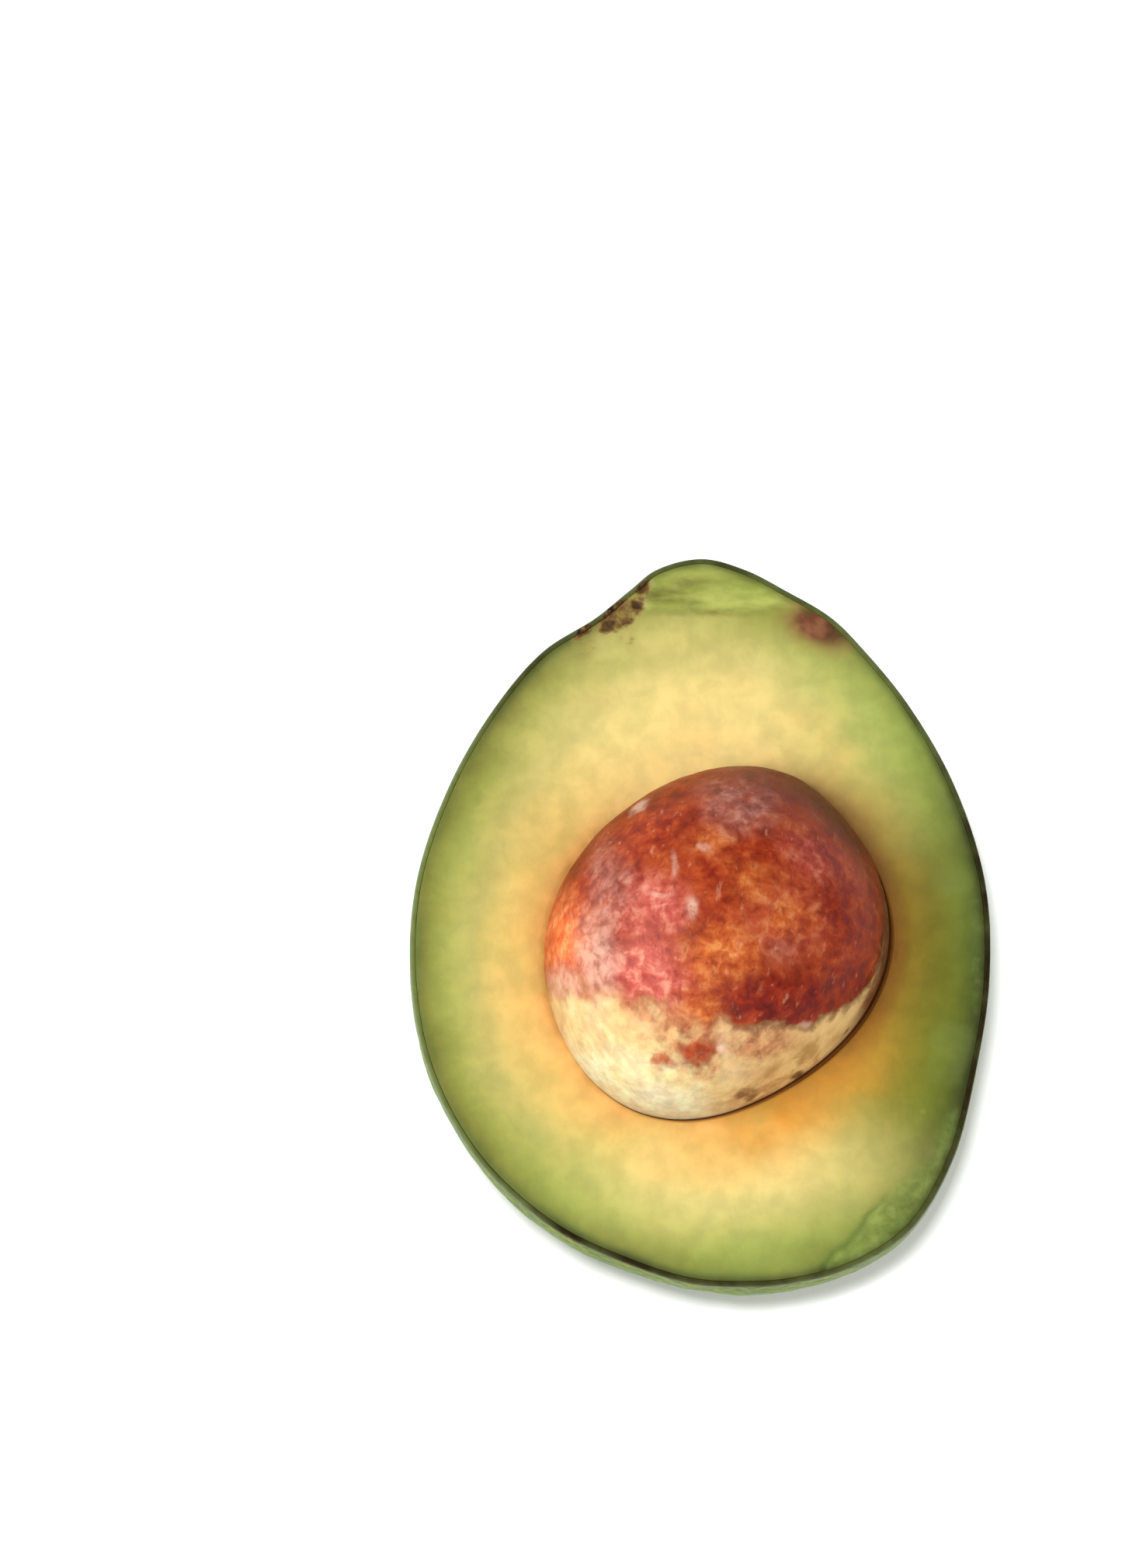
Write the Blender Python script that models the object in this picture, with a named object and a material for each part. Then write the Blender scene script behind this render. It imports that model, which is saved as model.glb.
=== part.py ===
"""Half of a green-skinned avocado, cut lengthwise, with its seed still in the hollow.

Metres, +Z up. The cut face is level and looks up, the stem end points along +Y, and
the round side rests at z = 0 on a small flattened patch below the origin.
"""

import math

import bmesh
import bpy
from mathutils import Matrix, Vector

# The outline of the cut face, from the stem end to the blossom end: each row is
# how far along the fruit, then the left edge and the right edge there.
CUT_OUTLINE = (
    (0.0593, 0.0005, 0.0005),
    (0.0575, -0.0068, 0.0074),
    (0.0540, -0.0112, 0.0140),
    (0.0495, -0.0166, 0.0213),
    (0.0440, -0.0250, 0.0266),
    (0.0350, -0.0326, 0.0336),
    (0.0220, -0.0400, 0.0407),
    (0.0060, -0.0453, 0.0455),
    (-0.0100, -0.0461, 0.0460),
    (-0.0250, -0.0431, 0.0436),
    (-0.0390, -0.0354, 0.0398),
    (-0.0500, -0.0233, 0.0332),
    (-0.0560, -0.0107, 0.0242),
    (-0.0588, -0.0015, 0.0140),
    (-0.0593, 0.0065, 0.0065),
)
DEPTH_TO_HALF_WIDTH = 0.96  # every cross-section is half an ellipse this deep
FLATTENING = 0.0006  # what the round side gives where it rests

# The seed is an ellipsoid whose centre lies in the cut plane.
SEED_CENTRE = (0.0026, -0.0043)
SEED_LONG_RADIUS = 0.0295
SEED_SHORT_RADIUS = 0.0257
SEED_HEIGHT_RADIUS = 0.0260
SEED_TURN = math.radians(50.0)  # its long axis, from +X towards +Y
SEED_GAP = 0.0003  # between the seed and the flesh round it

OUTLINE_STEPS = 24  # curve steps between two rows of the outline
FRUIT_RINGS = 42
FRUIT_SEGMENTS = 64
SEED_RINGS = 28
SEED_SEGMENTS = 44
SHARP_ANGLE = math.radians(35.0)
ON_PLANE = 1e-6

SKIN_COLOUR = (0.09, 0.22, 0.03)
FLESH_COLOUR = (0.76, 0.68, 0.25)
SEED_COLOUR = (0.33, 0.10, 0.05)


def clear_scene():
    for old in list(bpy.data.objects):
        bpy.data.objects.remove(old, do_unlink=True)


def make_collection(name):
    collection = bpy.data.collections.new(name)
    bpy.context.scene.collection.children.link(collection)
    return collection


def make_material(name, colour, roughness):
    material = bpy.data.materials.new(name)
    material.use_nodes = True
    shader = material.node_tree.nodes["Principled BSDF"]
    shader.inputs["Base Color"].default_value = (*colour, 1.0)
    shader.inputs["Roughness"].default_value = roughness
    shader.inputs["Metallic"].default_value = 0.0
    return material


def make_object(name, bm, collection, materials=()):
    mesh = bpy.data.meshes.new(name)
    bm.to_mesh(mesh)
    bm.free()
    mesh.shade_smooth()
    mesh.set_sharp_from_angle(angle=SHARP_ANGLE)
    for material in materials:
        mesh.materials.append(material)
    made = bpy.data.objects.new(name, mesh)
    collection.objects.link(made)
    return made


def closed_curve(points, steps):
    """A smooth closed curve through the points (centripetal Catmull-Rom)."""
    curve = []
    count = len(points)
    for i in range(count):
        before, start, end, after = (points[(i + k) % count] for k in (-1, 0, 1, 2))
        gap_before = math.sqrt((start - before).length)
        gap = math.sqrt((end - start).length)
        gap_after = math.sqrt((after - end).length)
        leave = (end - start) + gap * (
            (start - before) / gap_before - (end - before) / (gap_before + gap)
        )
        arrive = (end - start) + gap * (
            (after - end) / gap_after - (after - start) / (gap + gap_after)
        )
        for step in range(steps):
            t = step / steps
            curve.append(
                start * (2 * t**3 - 3 * t**2 + 1)
                + leave * (t**3 - 2 * t**2 + t)
                + end * (3 * t**2 - 2 * t**3)
                + arrive * (t**3 - t**2)
            )
    return curve


def spread_evenly(line, count):
    """The line's points again, count + 1 of them at equal distances along it."""
    reach = [0.0]
    for a, b in zip(line, line[1:]):
        reach.append(reach[-1] + (b - a).length)
    even = []
    piece = 0
    for i in range(count + 1):
        wanted = reach[-1] * i / count
        while piece < len(line) - 2 and reach[piece + 1] < wanted:
            piece += 1
        share = (wanted - reach[piece]) / (reach[piece + 1] - reach[piece])
        even.append(line[piece].lerp(line[piece + 1], share))
    return even


def outline_sides():
    """The left and right edges of the cut face, both from stem end to blossom end."""
    right = [Vector((x_right, y, 0.0)) for y, _, x_right in CUT_OUTLINE]
    left = [Vector((x_left, y, 0.0)) for y, x_left, _ in CUT_OUTLINE[1:-1]]
    curve = closed_curve(right + left[::-1], OUTLINE_STEPS)
    blossom = (len(right) - 1) * OUTLINE_STEPS
    right_side = curve[: blossom + 1]
    left_side = [curve[0]] + curve[:blossom - 1:-1]
    return spread_evenly(left_side, FRUIT_RINGS), spread_evenly(right_side, FRUIT_RINGS)


def boundary_edges(bm):
    return [edge for edge in bm.edges if edge.is_boundary]


def fruit_body():
    """Half of the fruit below the cut plane, as a sphere drawn onto the outline."""
    left_side, right_side = outline_sides()
    bm = bmesh.new()
    bmesh.ops.create_uvsphere(
        bm, u_segments=FRUIT_SEGMENTS, v_segments=FRUIT_RINGS, radius=1.0
    )
    bmesh.ops.bisect_plane(
        bm,
        geom=bm.verts[:] + bm.edges[:] + bm.faces[:],
        dist=ON_PLANE,
        plane_co=(0.0, 0.0, 0.0),
        plane_no=(0.0, -1.0, 0.0),
        clear_outer=True,
    )
    for vertex in bm.verts:
        ring = round(math.acos(max(-1.0, min(1.0, vertex.co.z))) / math.pi * FRUIT_RINGS)
        around = math.atan2(max(vertex.co.y, 0.0), vertex.co.x)
        middle = (left_side[ring] + right_side[ring]) / 2
        half = (right_side[ring] - left_side[ring]) / 2
        depth = DEPTH_TO_HALF_WIDTH * half.length * math.sin(around)
        vertex.co = middle + half * math.cos(around) - Vector((0.0, 0.0, depth))
    return bm


def fruit_depth(bm):
    """How far the cut plane is above the surface that the fruit rests on."""
    return -min(vertex.co.z for vertex in bm.verts) - FLATTENING


def flatten_underside(bm, depth):
    bmesh.ops.bisect_plane(
        bm,
        geom=bm.verts[:] + bm.edges[:] + bm.faces[:],
        dist=ON_PLANE,
        plane_co=(0.0, 0.0, -depth),
        plane_no=(0.0, 0.0, -1.0),
        clear_outer=True,
    )


def seed_body(gap=0.0):
    """The seed's ellipsoid, grown by gap on every side."""
    bm = bmesh.new()
    bmesh.ops.create_uvsphere(
        bm, u_segments=SEED_SEGMENTS, v_segments=SEED_RINGS, radius=1.0
    )
    radii = Vector(
        (SEED_LONG_RADIUS + gap, SEED_SHORT_RADIUS + gap, SEED_HEIGHT_RADIUS + gap)
    )
    bmesh.ops.scale(bm, vec=radii, verts=bm.verts[:])
    return bm


def place_seed(piece, depth, parent):
    piece.location = (*SEED_CENTRE, depth)
    piece.rotation_euler = (0.0, 0.0, SEED_TURN)
    piece.parent = parent


def make_fruit_half(bm, depth, parent, collection, cutters):
    """The flesh with its skin, grown as one piece, and the hollow for the seed."""
    flatten_underside(bm, depth)
    for face in bm.faces:
        face.material_index = 1
    for edges in (
        [e for e in boundary_edges(bm) if e.verts[0].co.z > -depth / 2],
        [e for e in boundary_edges(bm) if e.verts[0].co.z < -depth / 2],
    ):
        cap = bmesh.ops.holes_fill(bm, edges=edges, sides=0)["faces"]
        for face in cap:
            face.material_index = 0 if face.calc_center_median().z > -depth / 2 else 1
    bmesh.ops.recalc_face_normals(bm, faces=bm.faces[:])
    flesh = make_material("avocado_flesh", FLESH_COLOUR, 0.45)
    skin = make_material("avocado_skin", SKIN_COLOUR, 0.35)
    half = make_object("fruit_half", bm, collection, (flesh, skin))
    half.location.z = depth
    half.parent = parent

    hollow = make_object("seed_hollow", seed_body(SEED_GAP), cutters)
    place_seed(hollow, depth, parent)
    hollow.hide_render = True
    hollow.display_type = "WIRE"
    cut = half.modifiers.new("seed_hollow", "BOOLEAN")
    cut.operation = "DIFFERENCE"
    cut.solver = "EXACT"
    cut.object = hollow
    return half


def make_seed(depth, parent, collection):
    coat = make_material("seed_coat", SEED_COLOUR, 0.4)
    seed = make_object("seed", seed_body(), collection, (coat,))
    place_seed(seed, depth, parent)
    return seed


def main():
    clear_scene()
    parts = make_collection("avocado_half")
    cutters = make_collection("cutters")
    frame = bpy.data.objects.new("avocado_half", None)
    parts.objects.link(frame)

    body = fruit_body()
    depth = fruit_depth(body)
    make_fruit_half(body, depth, frame, parts, cutters)
    make_seed(depth, frame, parts)


main()
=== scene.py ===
import math

import bpy
import numpy as np
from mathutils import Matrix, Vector


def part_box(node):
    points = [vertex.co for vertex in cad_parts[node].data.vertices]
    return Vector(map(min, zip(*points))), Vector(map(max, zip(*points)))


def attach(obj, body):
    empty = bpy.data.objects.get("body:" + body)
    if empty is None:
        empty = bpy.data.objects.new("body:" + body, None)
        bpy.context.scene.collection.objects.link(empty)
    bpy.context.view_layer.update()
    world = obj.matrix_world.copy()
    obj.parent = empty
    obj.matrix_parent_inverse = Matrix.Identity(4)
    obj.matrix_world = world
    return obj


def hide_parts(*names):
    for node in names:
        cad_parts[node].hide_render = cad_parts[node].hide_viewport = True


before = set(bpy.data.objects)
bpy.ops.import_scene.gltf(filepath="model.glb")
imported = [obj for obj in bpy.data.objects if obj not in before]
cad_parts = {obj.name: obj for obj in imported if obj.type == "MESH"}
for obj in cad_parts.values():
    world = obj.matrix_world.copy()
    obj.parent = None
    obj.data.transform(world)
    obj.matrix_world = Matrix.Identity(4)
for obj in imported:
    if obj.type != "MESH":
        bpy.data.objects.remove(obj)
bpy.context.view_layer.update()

# ---------------------------------------------------------------------------
# Sizes, in metres. The frame gives the heights and the seed's place.
# ---------------------------------------------------------------------------
MM = 0.001
CUT_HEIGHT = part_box("fruit_half")[1].z
SEED_LOW, SEED_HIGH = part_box("seed")
SEED_CENTRE = (SEED_LOW + SEED_HIGH) / 2

# The outline of the cut face, stem end to blossom end: y, left edge x, right edge x.
CUT_OUTLINE = (
    (0.0593, 0.0005, 0.0005),
    (0.0575, -0.0068, 0.0074),
    (0.0540, -0.0112, 0.0140),
    (0.0495, -0.0166, 0.0213),
    (0.0440, -0.0250, 0.0266),
    (0.0350, -0.0326, 0.0336),
    (0.0220, -0.0400, 0.0407),
    (0.0060, -0.0453, 0.0455),
    (-0.0100, -0.0461, 0.0460),
    (-0.0250, -0.0431, 0.0436),
    (-0.0390, -0.0354, 0.0398),
    (-0.0500, -0.0233, 0.0332),
    (-0.0560, -0.0107, 0.0242),
    (-0.0588, -0.0015, 0.0140),
    (-0.0593, 0.0065, 0.0065),
)
OUTLINE_STEPS = 60
DEPTH_TO_HALF_WIDTH = 0.96
SWELL = 0.03  # how much the skin swells outward just below the cut
FRUIT_LENGTH = CUT_OUTLINE[0][0] - CUT_OUTLINE[-1][0]
FRUIT_MIDDLE = np.array((0.0, -4 * MM))
CUT_MIDDLE = np.array((*FRUIT_MIDDLE, CUT_HEIGHT))
SKIN_THICKNESS = 0.85 * MM

# The seed: half its length, breadth and height, and the bearing of its long axis.
SEED_LONG = 29.5 * MM
SEED_SHORT = 25.7 * MM
SEED_TALL = (SEED_HIGH.z - SEED_LOW.z) / 2
SEED_TURN = math.radians(50.0)
SEED_GAP = 0.3 * MM  # between the seed and the hollow, below the lip

# Off straight above, towards the blossom end: from there the fruit shows as in the photo.
VIEW_TILT = math.radians(13.0)

# Where the seed's coat ends: across and up from the seed's middle, in millimetres.
SEED_TEAR = (
    (-30.0, -6.8), (-22.6, -6.1), (-17.6, -6.5), (-13.5, -8.4), (-10.2, -9.6), (-6.9, -10.0),
    (-4.8, -11.3), (-2.0, -12.7), (0.1, -9.8), (2.6, -11.9), (5.1, -12.7), (7.5, -11.5),
    (10.4, -11.5), (13.3, -12.9), (15.8, -11.5), (18.7, -10.0), (20.7, -9.0), (22.6, -7.3),
    (24.0, -5.3), (25.9, -1.2), (27.0, 3.0), (27.8, 8.0),
)

COLUMNS = 600  # mesh columns round the fruit
SEED_COLUMNS = 480
COVERED_ROWS = 12  # mesh rows of the faces where flesh and skin lie on each other

# Relief: how high the unevenness is, and how deep the marks are cut.
CUT_WAVES = 0.16 * MM
CUT_GRAIN = 0.035 * MM
CUT_EDGE_DROP = 0.06 * MM
SHAVED_DEPTH = 0.12 * MM
SHAVED_ROUGHNESS = 0.14 * MM
GROOVE_DEPTH = 0.30 * MM
CREASE_DEPTH = 0.10 * MM
SCAR_DEPTH = 0.30 * MM
SCAR_ROUGHNESS = 0.40 * MM
SKIN_LUMPS = 0.30 * MM
SKIN_PEBBLES = 0.10 * MM
SKIN_SCAR_DEPTH = 0.4 * MM
SKIN_SCAR_ROUGHNESS = 0.6 * MM
SKIN_EDGE_ROUGHNESS = 0.06 * MM
SEED_LUMPS = 0.35 * MM
SEED_GRAIN = 0.09 * MM
COAT_THICKNESS = 0.16 * MM
COAT_CURL = 0.12 * MM


# ---------------------------------------------------------------------------
# Number helpers
# ---------------------------------------------------------------------------
def smooth(value, low, high):
    """0 at low, 1 at high, an even S-curve between them and level beyond them."""
    t = np.clip((value - low) / (high - low), 0.0, 1.0)
    return t * t * (3.0 - 2.0 * t)


def blob(x, y, centre, radii, turn=0.0, soft=0.5):
    """A soft-edged ellipse: 1 in the middle, 0 outside. Sizes are in millimetres."""
    c, s = math.cos(math.radians(turn)), math.sin(math.radians(turn))
    dx, dy = x / MM - centre[0], y / MM - centre[1]
    u, v = (dx * c + dy * s) / radii[0], (dy * c - dx * s) / radii[1]
    return 1.0 - smooth(np.hypot(u, v), 1.0 - soft, 1.0 + soft)


def gradient_noise(points, size, seed=0):
    """Perlin noise, about -1 to 1, with features of the given size in metres."""
    rng = np.random.default_rng(seed)
    table = rng.permutation(256)
    slopes = rng.normal(size=(256, 3))
    slopes /= np.linalg.norm(slopes, axis=1, keepdims=True)
    p = np.asarray(points) / size + 1000.0
    cell = np.floor(p).astype(int)
    part = p - cell
    fade = part**3 * (part * (part * 6.0 - 15.0) + 10.0)
    total = np.zeros(p.shape[:-1])
    for corner in np.ndindex(2, 2, 2):
        index = (cell + corner) % 256
        key = table[index[..., 0]]
        key = table[(key + index[..., 1]) % 256]
        key = table[(key + index[..., 2]) % 256]
        reach = (slopes[key] * (part - corner)).sum(-1)
        weight = np.prod(np.where(corner, fade, 1.0 - fade), axis=-1)
        total += weight * reach
    return total * 1.6


def layered_noise(points, size, seed=0, layers=3):
    """Several octaves of noise, each half the size and half the height of the last."""
    total = 0.0
    for layer in range(layers):
        total = total + gradient_noise(points, size / 2**layer, seed + layer) / 2**layer
    return total


# ---------------------------------------------------------------------------
# The fruit's form
# ---------------------------------------------------------------------------
def closed_curve(points, steps):
    """A smooth closed curve through the points (centripetal Catmull-Rom)."""
    curve = []
    count = len(points)
    for i in range(count):
        before, start, end, after = (points[(i + k) % count] for k in (-1, 0, 1, 2))
        gap_before = math.sqrt(np.linalg.norm(start - before))
        gap = math.sqrt(np.linalg.norm(end - start))
        gap_after = math.sqrt(np.linalg.norm(after - end))
        leave = (end - start) + gap * (
            (start - before) / gap_before - (end - before) / (gap_before + gap)
        )
        arrive = (end - start) + gap * (
            (after - end) / gap_after - (after - start) / (gap + gap_after)
        )
        t = (np.arange(steps) / steps)[:, None]
        curve.append(
            start * (2 * t**3 - 3 * t**2 + 1)
            + leave * (t**3 - 2 * t**2 + t)
            + end * (3 * t**2 - 2 * t**3)
            + arrive * (t**3 - t**2)
        )
    return np.concatenate(curve)


def outline_sides():
    """The left and right edges of the cut face, each from stem end to blossom end."""
    right = [np.array((x_right, y)) for y, _, x_right in CUT_OUTLINE]
    left = [np.array((x_left, y)) for y, x_left, _ in CUT_OUTLINE[1:-1]]
    curve = closed_curve(right + left[::-1], OUTLINE_STEPS)
    blossom = (len(right) - 1) * OUTLINE_STEPS
    right_side = curve[: blossom + 1]
    left_side = np.concatenate((curve[:1], curve[: blossom - 1 : -1]))
    return left_side, right_side


LEFT_SIDE, RIGHT_SIDE = outline_sides()


def point_along(side, share):
    """The point at that share of the side's length."""
    steps = np.linalg.norm(np.diff(side, axis=0), axis=1)
    reach = np.concatenate(((0.0,), np.cumsum(steps)))
    wanted = share * reach[-1]
    return np.stack([np.interp(wanted, reach, side[:, i]) for i in (0, 1)], axis=-1)


def fruit_surface(around, below):
    """The outer surface: around is the angle from +X, below the angle under the cut."""
    x = np.cos(around) * np.cos(below)
    y = np.sin(around) * np.cos(below)
    share = np.arccos(np.clip(y, -1.0, 1.0)) / math.pi
    turn = np.arctan2(np.sin(below), x)
    left, right = point_along(LEFT_SIDE, share), point_along(RIGHT_SIDE, share)
    half = (right - left) / 2
    flat = (left + right) / 2 + half * np.cos(turn)[..., None]
    swell = 1.0 + SWELL * 2.0 * np.sin(below) * np.cos(below) ** 3
    flat = FRUIT_MIDDLE + (flat - FRUIT_MIDDLE) * swell[..., None]
    depth = DEPTH_TO_HALF_WIDTH * np.linalg.norm(half, axis=-1) * np.sin(turn)
    return np.concatenate((flat, (CUT_HEIGHT - depth)[..., None]), axis=-1)


def outward_normals(grid, middle):
    """Unit normals, away from the middle, of a grid whose columns close into a ring."""
    down = np.gradient(grid, axis=0)
    across = np.roll(grid, -1, axis=1) - np.roll(grid, 1, axis=1)
    normal = np.cross(down, across)
    length = np.linalg.norm(normal, axis=-1, keepdims=True)
    normal = normal / np.maximum(length, 1e-12)
    sample = (5, 0)
    return normal * np.sign((normal[sample] * (grid[sample] - middle)).sum())


def inward_steps(outline):
    """Unit steps into the fruit, square to the closed outline at each of its points."""
    along = np.roll(outline, -1, axis=0) - np.roll(outline, 1, axis=0)
    inward = np.stack((-along[:, 1], along[:, 0]), axis=-1)
    return inward / np.linalg.norm(inward, axis=1, keepdims=True)


def inner_surface(around, below, distance):
    """The outer surface drawn in towards the middle of the cut by the distance."""
    outer = fruit_surface(around[None], np.repeat(below[:, None], COLUMNS, 1))
    away = outer - CUT_MIDDLE
    away /= np.linalg.norm(away, axis=-1, keepdims=True)
    return outer - away * distance


def seed_surface(around, above, grow=0.0):
    """The seed's plain form, or one that stands off it by grow.

    around is the angle from its long axis, above the angle over its middle.
    """
    x = (SEED_LONG + grow) * np.cos(around) * np.cos(above)
    y = (SEED_SHORT + grow) * np.sin(around) * np.cos(above)
    z = np.broadcast_to((SEED_TALL + grow) * np.sin(above), x.shape)
    # Not quite an ellipse: fuller at the lower left, flatter at the lower right.
    uneven = (
        0.015 * np.cos(around - math.radians(85.0))
        + 0.012 * np.cos(3.0 * around + math.radians(162.0))
        + 0.016 * np.cos(4.0 * around - math.radians(103.0))
    )
    fuller = 1.0 + uneven * np.cos(above) ** 2
    x, y = x * fuller, y * fuller
    c, s = math.cos(SEED_TURN), math.sin(SEED_TURN)
    flat_x, flat_y = x * c - y * s, x * s + y * c
    return np.stack(
        (SEED_CENTRE.x + flat_x, SEED_CENTRE.y + flat_y, SEED_CENTRE.z + z), axis=-1
    )


# ---------------------------------------------------------------------------
# Meshes
# ---------------------------------------------------------------------------
def ring_mesh(name, rows, maps, attributes, material):
    """A closed mesh from rings of points, stacked from its first pole to its last.

    rows is (rings, columns, 3); the first and last ring are each drawn to one point.
    """
    rings, columns = rows.shape[:2]
    inner = rows[1:-1].reshape(-1, 3)
    points = np.concatenate((rows[:1, 0], inner, rows[-1:, 0]))
    last = len(points) - 1
    index = 1 + np.arange((rings - 2) * columns).reshape(rings - 2, columns)
    beside = np.roll(index, -1, axis=1)
    quads = np.stack((index[:-1], beside[:-1], beside[1:], index[1:]), axis=-1).reshape(-1, 4)
    start_fan = np.stack((np.zeros(columns, int), beside[0], index[0]), axis=-1)
    end_fan = np.stack((index[-1], beside[-1], np.full(columns, last)), axis=-1)
    mesh = bpy.data.meshes.new(name)
    corners = np.concatenate((quads.ravel(), start_fan.ravel(), end_fan.ravel()))
    sizes = np.concatenate((np.full(len(quads), 4), np.full(2 * columns, 3)))
    mesh.vertices.add(len(points))
    mesh.vertices.foreach_set("co", points.astype(np.float32).ravel())
    mesh.loops.add(len(corners))
    mesh.loops.foreach_set("vertex_index", corners.astype(np.int32))
    mesh.polygons.add(len(sizes))
    starts = np.concatenate(((0,), np.cumsum(sizes)[:-1]))
    mesh.polygons.foreach_set("loop_start", starts.astype(np.int32))
    mesh.update(calc_edges=True)
    mesh.validate()

    def per_point(values):
        middle = values[1:-1].reshape(-1, *values.shape[2:])
        return np.concatenate((values[:1, 0], middle, values[-1:, 0]))

    layer = mesh.uv_layers.new(name="OFBake")
    layer.data.foreach_set("uv", per_point(maps)[corners].astype(np.float32).ravel())
    for label, values in attributes.items():
        attribute = mesh.attributes.new(label, "FLOAT", "POINT")
        attribute.data.foreach_set("value", per_point(values).astype(np.float32))
    mesh.materials.append(material)
    mesh.shade_smooth()
    made = bpy.data.objects.new(name, mesh)
    bpy.context.scene.collection.objects.link(made)
    return made


def disc_map(around, reach, middle):
    """A round map: every ring at its own reach from the middle."""
    return np.stack(
        (middle[0] + reach * np.cos(around), middle[1] + reach * np.sin(around)), axis=-1
    )


# ---------------------------------------------------------------------------
# Materials
# ---------------------------------------------------------------------------
def shade(red, green, blue):
    """A colour as seen on a screen, 0 to 255, as the linear colour a shader takes."""
    def linear(value):
        value /= 255.0
        return value / 12.92 if value <= 0.04045 else ((value + 0.055) / 1.055) ** 2.4

    return (linear(red), linear(green), linear(blue), 1.0)


class Nodes:
    """Short names for the shader nodes that the materials are made of."""

    def __init__(self, name):
        self.material = bpy.data.materials.new(name)
        self.material.use_nodes = True
        self.tree = self.material.node_tree
        self.shader = self.tree.nodes["Principled BSDF"]
        self.place = self.add("ShaderNodeTexCoord").outputs["Object"]

    def add(self, kind, **settings):
        node = self.tree.nodes.new(kind)
        for key, value in settings.items():
            setattr(node, key, value)
        return node

    def put(self, socket, value):
        if isinstance(value, bpy.types.NodeSocket):
            self.tree.links.new(value, socket)
        else:
            socket.default_value = value

    def mask(self, name):
        return self.add("ShaderNodeAttribute", attribute_name=name).outputs["Fac"]

    def combine(self, operation, first, second, clamp=False):
        node = self.add("ShaderNodeMath", operation=operation, use_clamp=clamp)
        self.put(node.inputs[0], first)
        self.put(node.inputs[1], second)
        return node.outputs[0]

    def times(self, first, second, clamp=False):
        return self.combine("MULTIPLY", first, second, clamp)

    def plus(self, first, second, clamp=False):
        return self.combine("ADD", first, second, clamp)

    def between(self, value, low, high, to_low=0.0, to_high=1.0):
        """to_low at low, to_high at high, and an even S-curve between them."""
        node = self.add("ShaderNodeMapRange", interpolation_type="SMOOTHSTEP")
        for socket, given in zip(node.inputs, (value, low, high, to_low, to_high)):
            self.put(socket, given)
        return node.outputs["Result"]

    def stretched(self, scale, turn=0.0):
        node = self.add("ShaderNodeMapping")
        self.put(node.inputs["Vector"], self.place)
        node.inputs["Scale"].default_value = scale
        node.inputs["Rotation"].default_value = (0.0, 0.0, turn)
        return node.outputs["Vector"]

    def noise(self, size, detail=3.0, rough=0.55, warp=0.0, place=None):
        """Noise with features of about size metres, 0 to 1."""
        node = self.add("ShaderNodeTexNoise")
        self.put(node.inputs["Vector"], place or self.place)
        node.inputs["Scale"].default_value = 1.0 / size
        node.inputs["Detail"].default_value = detail
        node.inputs["Roughness"].default_value = rough
        node.inputs["Distortion"].default_value = warp
        return node.outputs["Fac"]

    def cells(self, size, feature="F1"):
        """How far the nearest of many scattered points is, as a share of size."""
        node = self.add("ShaderNodeTexVoronoi", feature=feature)
        self.put(node.inputs["Vector"], self.place)
        node.inputs["Scale"].default_value = 1.0 / size
        return node.outputs["Distance"]

    def ramp(self, factor, stops):
        node = self.add("ShaderNodeValToRGB")
        self.put(node.inputs["Fac"], factor)
        elements = node.color_ramp.elements
        elements[0].position, elements[0].color = stops[0]
        elements[1].position, elements[1].color = stops[-1]
        for position, colour in stops[1:-1]:
            elements.new(position).color = colour
        return node.outputs["Color"]

    def mix(self, factor, under, over, blend="MIX"):
        node = self.add("ShaderNodeMix", data_type="RGBA", blend_type=blend)
        self.put(node.inputs["Factor"], factor)
        self.put(node.inputs[6], under)
        self.put(node.inputs[7], over)
        return node.outputs[2]

    def bump(self, height, distance, below=None):
        node = self.add("ShaderNodeBump")
        node.inputs["Distance"].default_value = distance
        self.put(node.inputs["Height"], height)
        if below is not None:
            self.put(node.inputs["Normal"], below)
        return node.outputs["Normal"]

    def finish(self, colour, roughness, normal, **constants):
        self.put(self.shader.inputs["Base Color"], colour)
        self.put(self.shader.inputs["Roughness"], roughness)
        self.put(self.shader.inputs["Normal"], normal)
        for key, value in constants.items():
            self.shader.inputs[key.replace("_", " ")].default_value = value
        return self.material


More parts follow.
